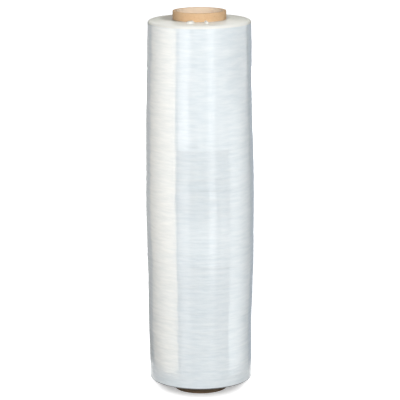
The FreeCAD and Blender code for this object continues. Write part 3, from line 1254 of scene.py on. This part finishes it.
    def pucker(
        self, number: int, bearing: float, half: float, finish: bpy.types.Material
    ) -> bpy.types.Object:
        """Makes one fold of loose film pinched up against the core.

        Args:
            number: the fold's number, for its name.
            bearing: degrees from +X towards +Y.
            half: half of its length round the core, in millimetres.
            finish: the film's material.

        Returns:
            The finished piece.
        """
        work = bmesh.new()
        bmesh.ops.create_uvsphere(work, u_segments=48, v_segments=28, radius=1.0)
        base = self.lift + self.width + self.dome * self.pucker_seat
        for vertex in work.verts:
            out, along, up = vertex.co
            away = (math.copysign(abs(out) ** self.pucker_flatness, out) + 1.0) / 2.0
            puffed = math.copysign(abs(up) ** self.pucker_fullness, up)
            wave = math.sin(along * self.crest_turns + self.crest_shift * number)
            narrowed = 1.0 - self.pucker_taper * away
            rise = self.pucker_rise * narrowed * (1.0 - self.crest_change + self.crest_change * wave)
            radius = self.inner_radius + self.pucker_clearance + away * self.pucker_reach
            angle = math.radians(bearing) + along * half * narrowed / self.inner_radius
            level = base + max(puffed, -self.pucker_sink) * rise
            vertex.co = Vector((radius * math.cos(angle), radius * math.sin(angle), level)) * MM
        mesh = bpy.data.meshes.new(f"film_fold_{number + 1}")
        work.to_mesh(mesh)
        work.free()
        turn_outwards(mesh)
        end_face = mesh.attributes.new(END_FACE, "FLOAT", "POINT")
        end_face.data.foreach_set("value", [1.0] * len(mesh.vertices))
        mesh.materials.append(finish)
        piece = bpy.data.objects.new(mesh.name, mesh)
        bpy.context.scene.collection.objects.link(piece)
        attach(piece, "root")
        return piece


@dataclass
class PaperCore(GridPart):
    """The core: paper plies wound in a helix, so that their seams climb round the tube.

    Lengths are in millimetres.
    """

    bore_radius: float = 25.4
    outer_radius: float = 29.1
    length: float = 422.4
    edge: float = 0.45
    seam_lead: float = 118.0
    seam_bearing: float = 40.0
    seam_depth: float = 0.22
    seam_half_width: float = 0.0016
    fray: float = 0.24
    fray_scale: float = 0.55
    columns: int = 96
    # Rows up the outside, round and over the upper cut, down the bore, round and under the lower cut.
    rows: tuple[int, ...] = (212, 3, 6, 3, 212, 3, 6, 3)

    SIZE_NAMES = (
        "bore_radius", "outer_radius", "length", "edge", "seam_lead", "seam_bearing", "seam_depth",
        "seam_half_width", "fray",
    )

    @classmethod
    def from_frame(cls) -> "PaperCore":
        """Reads the core's length and its outside from the CAD solids."""
        low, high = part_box("cardboard_core")
        return cls(length=(high.z - low.z) / MM, outer_radius=(high.x - low.x) / 2 / MM)

    def build(self, finish: bpy.types.Material) -> list[bpy.types.Object]:
        """Builds the core.

        Args:
            finish: the paperboard's material.

        Returns:
            The finished piece, in a list.
        """
        core = evaluate_piece("paper_core", self.tree(finish), self.sizes(), "root")
        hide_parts("cardboard_core")
        return [core]

    def tree(self, finish: bpy.types.Material) -> NodeSheet:
        """Builds the geometry tree that winds the tube.

        The grid's columns climb with the plies, so one column is the seam outside and the column
        half a turn away is the seam inside. Its rows go up the outside, in over the upper cut,
        down the bore and out under the lower cut.

        Args:
            finish: the paperboard's material.

        Returns:
            A sheet on the tree.
        """
        sheet, grid = self.start_tree("wind_core")
        size = grid.size
        rise, turn_in, over, turn_down, fall, turn_out, under, turn_up = grid.stretches

        half = self.columns // 2
        local = sheet.math("MODULO", grid.column, float(half))
        beside = sheet.less(sheet.matches(local, 1.0), sheet.matches(local, half - 1.0))
        shift = sheet.times(beside, sheet.less(size["seam_half_width"], 1 / self.columns))
        turn = sheet.sum(sheet.times(grid.column, 1 / self.columns), shift)
        seam_outside = sheet.matches(sheet.math("MODULO", grid.column, float(self.columns)), 0.0)
        seam_inside = sheet.matches(grid.column, float(half))

        edge = size["edge"]
        sines, cosines = [], []
        for corner in (turn_in, turn_down, turn_out, turn_up):
            angle = sheet.times(corner, QUARTER)
            sines.append(sheet.times(edge, sheet.math("SINE", angle)))
            cosines.append(sheet.times(edge, sheet.flip(sheet.math("COSINE", angle))))
        both_edges = sheet.times(edge, 2.0)
        flat = sheet.less(sheet.less(size["outer_radius"], size["bore_radius"]), both_edges)
        tall = sheet.less(size["length"], both_edges)
        inward = sheet.sum(cosines[0], sheet.times(flat, over), sines[1])
        outward = sheet.sum(cosines[2], sheet.times(flat, under), sines[3])
        radius = sheet.sum(size["outer_radius"], sheet.times(inward, -1.0), outward)
        upward = sheet.sum(
            sheet.times(tall, sheet.less(rise, fall)),
            sines[0],
            sheet.times(cosines[1], -1.0),
            sheet.times(sines[2], -1.0),
            cosines[3],
        )
        level = sheet.sum(edge, upward)
        bearing = sheet.sum(
            sheet.times(turn, math.tau),
            sheet.times(sheet.math("DIVIDE", level, size["seam_lead"]), math.tau),
            sheet.times(size["seam_bearing"], math.pi / 180),
        )
        east, north = sheet.math("COSINE", bearing), sheet.math("SINE", bearing)

        on_outside = sheet.sum(sheet.flip(turn_in), sheet.math("GREATER_THAN", turn_up, COMPLETE))
        on_inside = sheet.times(turn_down, sheet.flip(turn_out))
        groove = sheet.less(
            sheet.times(seam_inside, on_inside, size["seam_depth"]),
            sheet.times(seam_outside, on_outside, size["seam_depth"]),
        )
        ring = sheet.sum(radius, groove)
        cut = sheet.times(sheet.math("MAXIMUM", over, turn_in), sheet.flip(fall))
        fray_spot = sheet.vector(sheet.times(east, radius), sheet.times(north, radius), 0.0)
        rough = sheet.noise(fray_spot, self.fray_scale, detail=3.0)
        frayed = sheet.sum(level, sheet.times(sheet.less(rough, 0.5), size["fray"], cut))
        where = sheet.vector(
            sheet.times(ring, east, MM), sheet.times(ring, north, MM), sheet.times(frayed, MM)
        )
        self.end_tree(sheet, grid.mesh, where, finish)
        return sheet


@dataclass(frozen=True)
class Card:
    """A curved card that stands round the roll and shows in its gloss.

    near and far are the bearings of its two upright edges, in degrees to the right of the camera's
    side, and distance is measured from the roll's axis. Distances and heights are in metres. soft is
    the share of its width over which the card fades out at each upright edge, and top_fade is the
    share of its height over which it fades at its top.
    low is its strength at the bottom as a share of the full strength, which it reaches at half of
    its height, and tail is the same at its far edge. bars is the share of its light that level bars
    take off, at uneven heights. A sheer card adds its light to what stands behind it.
    """

    name: str
    near: float
    far: float
    distance: float
    bottom: float
    top: float
    colour: tuple[float, float, float]
    strength: float
    soft: float = 0.0
    low: float = 1.0
    tail: float = 1.0
    top_fade: float = 0.0
    bars: float = 0.0
    sheer: bool = False


@dataclass(frozen=True)
class Lamp:
    """A soft lamp that lights the roll and doesn't show in its gloss.

    Its place and its width are in metres, and its power is in watts.
    """

    name: str
    place: tuple[float, float, float]
    size: float
    power: float
    colour: tuple[float, float, float]
    shadow: bool = True


@dataclass
class Studio:
    """The pale floor, the plain light, the cards, the lamps and the camera.

    Lengths are in metres and angles in degrees.
    """

    ambient: tuple[float, float, float] = (0.93, 0.97, 1.0)
    ambient_level: float = 0.23

    # The floor, and where its glow fades into the roll's shadow. The shadow's front edge is an arc.
    floor_radius: float = 9.0
    floor_corners: int = 96
    floor_white: tuple[float, float, float] = (0.9, 0.9, 0.9)
    floor_bounce: tuple[float, float, float] = (0.35, 0.35, 0.35)
    floor_dullness: float = 0.9
    floor_glow: float = 0.38
    shadow_radius: float = 0.056
    shadow_centre: float = 0.0546
    front_fade: tuple[float, float] = (0.0, 0.026)
    foot_fade: tuple[float, float] = (0.031, 0.06)
    side_fade: tuple[float, float] = (0.06, 0.09)

    # The photograph's camera, from its fitted outlines. Its picture measures are in pixels.
    camera_distance: float = 2.3976
    camera_height: float = 0.2127
    camera_elevation: float = 12.094
    camera_roll: float = -0.244
    focal_pixels: float = 2180.4
    picture_pixels: float = 400.0
    centre: tuple[float, float] = (200.2, 200.16)
    sensor_millimetres: float = 36.0

    # How the cards are made. Each card's bars are read at its own distance times bar_spacing.
    card_steps: int = 24
    least_fade: float = 0.001
    tail_start: float = 0.2
    bar_pitch: float = 0.007
    bar_spacing: float = 400.0
    bar_fade: tuple[float, float] = (0.3, 0.7)
    # Bright sides, a white front above the level step, and upright strips and fills within it.
    # The flags are the dim outer edges, and the last three show in the upper end face.
    cards: tuple[Card, ...] = (
        Card("left_card", -39.3, -102.0, 0.11, 0.008, 0.41, (1.13, 0.99, 0.81), 6.3, low=0.78, tail=0.3),
        Card(
            "right_card", 50.2, 107.0, 0.12, 0.004, 0.35, (0.97, 1.0, 1.0), 4.6,
            soft=0.03, low=1.15, tail=0.25, top_fade=0.18,
        ),
        Card("front_card", -43.0, 107.0, 0.13, 0.2655, 1.2, (0.95, 0.99, 1.0), 1.0, tail=1.4, sheer=True),
        Card(
            "left_strip", -15.0, -37.5, 0.128, 0.2655, 0.9, (1.0, 0.98, 1.0), 2.1,
            soft=0.15, bars=0.8, sheer=True,
        ),
        Card(
            "left_low", -15.0, -37.5, 0.127, 0.0, 0.45, (1.0, 0.98, 1.0), 2.3,
            soft=0.2, low=0.7, bars=0.7, sheer=True,
        ),
        Card("left_glint", -16.0, -36.0, 0.126, 0.217, 0.222, WHITE, 5.0, soft=0.25, sheer=True),
        Card("right_strip", 10.5, 30.0, 0.126, 0.115, 0.9, WHITE, 2.4, soft=0.35, bars=0.8, sheer=True),
        Card("right_low", 10.5, 30.0, 0.125, 0.0, 0.45, WHITE, 1.2, soft=0.35, bars=0.7, sheer=True),
        Card("right_glint", 12.0, 28.0, 0.124, 0.217, 0.222, WHITE, 4.0, soft=0.3, sheer=True),
        Card(
            "right_fill", 31.0, 53.0, 0.127, 0.0, 0.40, WHITE, 1.1,
            soft=0.2, low=0.3, top_fade=0.35, sheer=True,
        ),
        Card("low_card", -43.0, 53.0, 0.13, 0.1375, 0.2, (0.95, 1.0, 1.0), 0.8, top_fade=0.6, sheer=True),
        Card("dim_card", -43.0, 50.0, 0.131, 0.19, 0.2655, WHITE, 0.9),
        Card("left_flag", -106.0, -178.0, 0.13, 0.0, 0.40, WHITE, 0.85, low=0.6),
        Card("right_flag", 107.0, 178.0, 0.13, 0.0, 0.40, (0.85, 0.97, 1.1), 0.7, soft=0.1),
        Card("back_flag", 120.0, 240.0, 1.0, 0.0, 0.53, (1.0, 1.0, 0.92), 0.1),
        Card("back_card", 130.0, 230.0, 1.1, 0.54, 0.94, (1.0, 1.0, 0.95), 2.0, low=0.3),
        Card("back_top", 130.0, 230.0, 1.1, 0.94, 1.6, (1.0, 1.0, 0.95), 2.0),
    )
    lamps: tuple[Lamp, ...] = (
        Lamp("front_softbox", (0.1, -2.6, 1.2), 0.9, 48.5, WHITE),
        Lamp("left_softbox", (-1.1, -0.9, 0.9), 1.0, 0.6, (1.0, 0.98, 0.93)),
        Lamp("right_softbox", (1.2, -1.0, 0.8), 1.0, 0.9, (0.95, 0.98, 1.0)),
        Lamp("back_softbox", (0.0, 2.4, 0.2), 0.3, 30.0, WHITE, shadow=False),
        Lamp("top_softbox", (0.0, -0.3, 1.6), 1.0, 2.2, WHITE),
    )

    def build(self) -> None:
        """Builds the whole studio."""
        self.make_world()
        self.make_floor()
        for card in self.cards:
            self.make_card(card)
        for lamp in self.lamps:
            self.make_lamp(lamp)
        self.make_camera()
        bpy.context.scene.view_settings.view_transform = "Standard"

    def seen_directly(self, sheet: NodeSheet) -> Socket:
        """Tells rays that show a thing from the light that falls on things.

        Args:
            sheet: the sheet on a material's or the world's tree.

        Returns:
            1 for rays from the camera, a mirror or a pane, and 0 for others.
        """
        path = sheet.add("ShaderNodeLightPath").outputs
        through = sheet.math("MAXIMUM", path["Is Glossy Ray"], path["Is Transmission Ray"])
        return sheet.math("MAXIMUM", path["Is Camera Ray"], through)

    def make_world(self) -> None:
        """Makes a world that shows white and lights plainly."""
        world = bpy.data.worlds.new("studio")
        bpy.context.scene.world = world
        world.use_nodes = True
        sheet = NodeSheet(world.node_tree)
        sky = world.node_tree.nodes["Background"]
        direct = self.seen_directly(sheet)
        level = sheet.sum(self.ambient_level, sheet.times(direct, 1.0 - self.ambient_level))
        sheet.feed(sky.inputs["Color"], sheet.blend(direct, (*self.ambient, 1.0), (*WHITE, 1.0)))
        sheet.feed(sky.inputs["Strength"], level)

    def make_floor(self) -> None:
        """Makes the pale floor, which fades to white where no shadow falls."""
        work = bmesh.new()
        bmesh.ops.create_circle(
            work, cap_ends=True, segments=self.floor_corners, radius=self.floor_radius
        )
        mesh = bpy.data.meshes.new("floor")
        work.to_mesh(mesh)
        work.free()
        floor = bpy.data.objects.new("floor", mesh)
        bpy.context.scene.collection.objects.link(floor)
        mesh.materials.append(self.floor_finish())

    def floor_finish(self) -> bpy.types.Material:
        """Makes the floor's material: matt and pale, with a glow that is weaker in the shadow.

        Returns:
            The floor's material.
        """
        material = bpy.data.materials.new("pale_floor")
        material.use_nodes = True
        nodes = material.node_tree.nodes
        sheet = NodeSheet(material.node_tree)
        skin = nodes["Principled BSDF"]
        direct = self.seen_directly(sheet)
        pale = sheet.blend(direct, (*self.floor_bounce, 1.0), (*self.floor_white, 1.0))
        sheet.feed(skin.inputs["Base Color"], pale)
        skin.inputs["Roughness"].default_value = self.floor_dullness
        skin.inputs["Specular IOR Level"].default_value = 0.0
        x, y, _ = sheet.parts(sheet.add("ShaderNodeTexCoord").outputs["Object"])
        away = sheet.reach(x, y)
        arc = sheet.math("MAXIMUM", sheet.less(self.shadow_radius ** 2, sheet.times(x, x)), 0.0)
        before = sheet.less(sheet.less(self.shadow_centre, sheet.math("SQRT", arc)), y)
        clear = sheet.times(
            sheet.share(before, *self.front_fade, self.floor_glow, 1.0),
            sheet.share(away, *self.foot_fade, self.floor_glow, 1.0),
        )
        lit = sheet.math("MAXIMUM", clear, sheet.share(away, *self.side_fade, self.floor_glow, 1.0))
        glow = sheet.add("ShaderNodeEmission")
        sheet.feed(glow.inputs["Strength"], sheet.times(direct, lit))
        both = sheet.add("ShaderNodeAddShader")
        sheet.feed(both.inputs[0], skin.outputs[0])
        sheet.feed(both.inputs[1], glow.outputs[0])
        sheet.feed(nodes["Material Output"].inputs["Surface"], both.outputs[0])
        return material

    def make_card(self, card: Card) -> None:
        """Makes one card, which only glossy rays meet.

        Args:
            card: the card to make.
        """
        steps = self.card_steps
        points = []
        for step in range(steps + 1):
            angle = math.radians(card.near + (card.far - card.near) * step / steps)
            across, along = card.distance * math.sin(angle), -card.distance * math.cos(angle)
            points += [(across, along, card.bottom), (across, along, card.top)]
        faces = [(2 * step, 2 * step + 2, 2 * step + 3, 2 * step + 1) for step in range(steps)]
        mesh = bpy.data.meshes.new(card.name)
        mesh.from_pydata(points, [], faces)
        places = mesh.uv_layers.new(name="place")
        for loop in mesh.loops:
            places.data[loop.index].uv = ((loop.vertex_index // 2) / steps, loop.vertex_index % 2)
        piece = bpy.data.objects.new(card.name, mesh)
        bpy.context.scene.collection.objects.link(piece)
        mesh.materials.append(self.card_glow(card))
        for rays in ("camera", "diffuse", "transmission", "volume_scatter", "shadow"):
            setattr(piece, f"visible_{rays}", False)

    def card_glow(self, card: Card) -> bpy.types.Material:
        """Makes a card's material: a plain glow that fades out at the card's edges.

        Args:
            card: the card that it is for.

        Returns:
            The card's material.
        """
        material = bpy.data.materials.new(card.name)
        material.use_nodes = True
        material.node_tree.nodes.clear()
        sheet = NodeSheet(material.node_tree)
        across, up, _ = sheet.parts(sheet.add("ShaderNodeUVMap", uv_map="place").outputs[0])
        from_edge = sheet.math("MINIMUM", across, sheet.flip(across))
        fade = sheet.times(
            sheet.share(from_edge, 0.0, max(card.soft, self.least_fade)),
            sheet.share(up, 1.0, 1.0 - max(card.top_fade, self.least_fade)),
        )
        rung = sheet.times(up, (card.top - card.bottom) / self.bar_pitch)
        bars = sheet.noise(sheet.vector(0.0, card.distance * self.bar_spacing, rung), 1.0, detail=2.0)
        wave = sheet.share(bars, *self.bar_fade)
        level = sheet.times(
            sheet.share(up, 0.0, 0.5, card.low, 1.0),
            sheet.share(across, self.tail_start, 1.0, 1.0, card.tail),
            sheet.sum(1.0 - card.bars, sheet.times(wave, card.bars)),
            card.strength,
        )
        glow = sheet.add("ShaderNodeEmission")
        glow.inputs["Color"].default_value = (*card.colour, 1.0)
        clear = sheet.add("ShaderNodeBsdfTransparent")
        both = sheet.add("ShaderNodeAddShader" if card.sheer else "ShaderNodeMixShader")
        sheet.feed(glow.inputs["Strength"], sheet.times(level, fade) if card.sheer else level)
        if not card.sheer:
            sheet.feed(both.inputs[0], fade)
        sheet.feed(both.inputs[-2], clear.outputs[0])
        sheet.feed(both.inputs[-1], glow.outputs[0])
        out = sheet.add("ShaderNodeOutputMaterial")
        sheet.feed(out.inputs["Surface"], both.outputs[0])
        return material

    def make_lamp(self, lamp: Lamp) -> None:
        """Makes one soft lamp that faces the roll's middle.

        Args:
            lamp: the lamp to make.
        """
        data = bpy.data.lights.new(lamp.name, "AREA")
        data.shape = "DISK"
        data.size = lamp.size
        data.energy = lamp.power
        data.color = lamp.colour
        data.use_shadow = lamp.shadow
        piece = bpy.data.objects.new(lamp.name, data)
        bpy.context.scene.collection.objects.link(piece)
        place = Vector(lamp.place)
        self.face(piece, place, Vector((0.0, 0.0, self.camera_height)) - place)
        piece.visible_camera = False
        piece.visible_glossy = False

    def face(self, piece: bpy.types.Object, place: Vector, aim: Vector, roll: float = 0.0) -> None:
        """Puts a lamp or a camera in its place and turns it.

        Args:
            piece: the lamp or camera.
            place: where it stands.
            aim: the direction that it faces.
            roll: its turn round that direction, in degrees.
        """
        turned = aim.to_track_quat("-Z", "Y").to_matrix().to_4x4()
        rolled = Matrix.Rotation(math.radians(roll), 4, "Z")
        piece.matrix_world = Matrix.Translation(place) @ turned @ rolled

    def make_camera(self) -> None:
        """Makes the camera at the photograph's place, with its framing."""
        half = self.picture_pixels / 2
        data = bpy.data.cameras.new("camera")
        data.sensor_width = self.sensor_millimetres
        data.lens = self.focal_pixels * self.sensor_millimetres / self.picture_pixels
        data.shift_x = (half - self.centre[0]) / self.picture_pixels
        data.shift_y = (self.centre[1] - half) / self.picture_pixels
        camera = bpy.data.objects.new("camera", data)
        bpy.context.scene.collection.objects.link(camera)
        up = math.radians(self.camera_elevation)
        back = Vector((0.0, -math.cos(up), math.sin(up)))
        place = Vector((0.0, 0.0, self.camera_height)) + back * self.camera_distance
        self.face(camera, place, -back, self.camera_roll)
        bpy.context.scene.camera = camera


def main() -> None:
    """Builds the roll and the stage in order."""
    logging.basicConfig(level=logging.INFO, format="%(message)s", stream=sys.stdout)
    effects = SharedEffects.build()
    parts = (
        (PaperCore.from_frame(), KraftFinish().build(effects)),
        (WoundFilm.from_frame(), FilmFinish().build(effects)),
    )
    for part, finish in parts:
        for piece in part.build(finish):
            LOG.info("%s: %d faces", piece.name, len(piece.data.polygons))
    Studio().build()


if __name__ == "__main__":
    main()
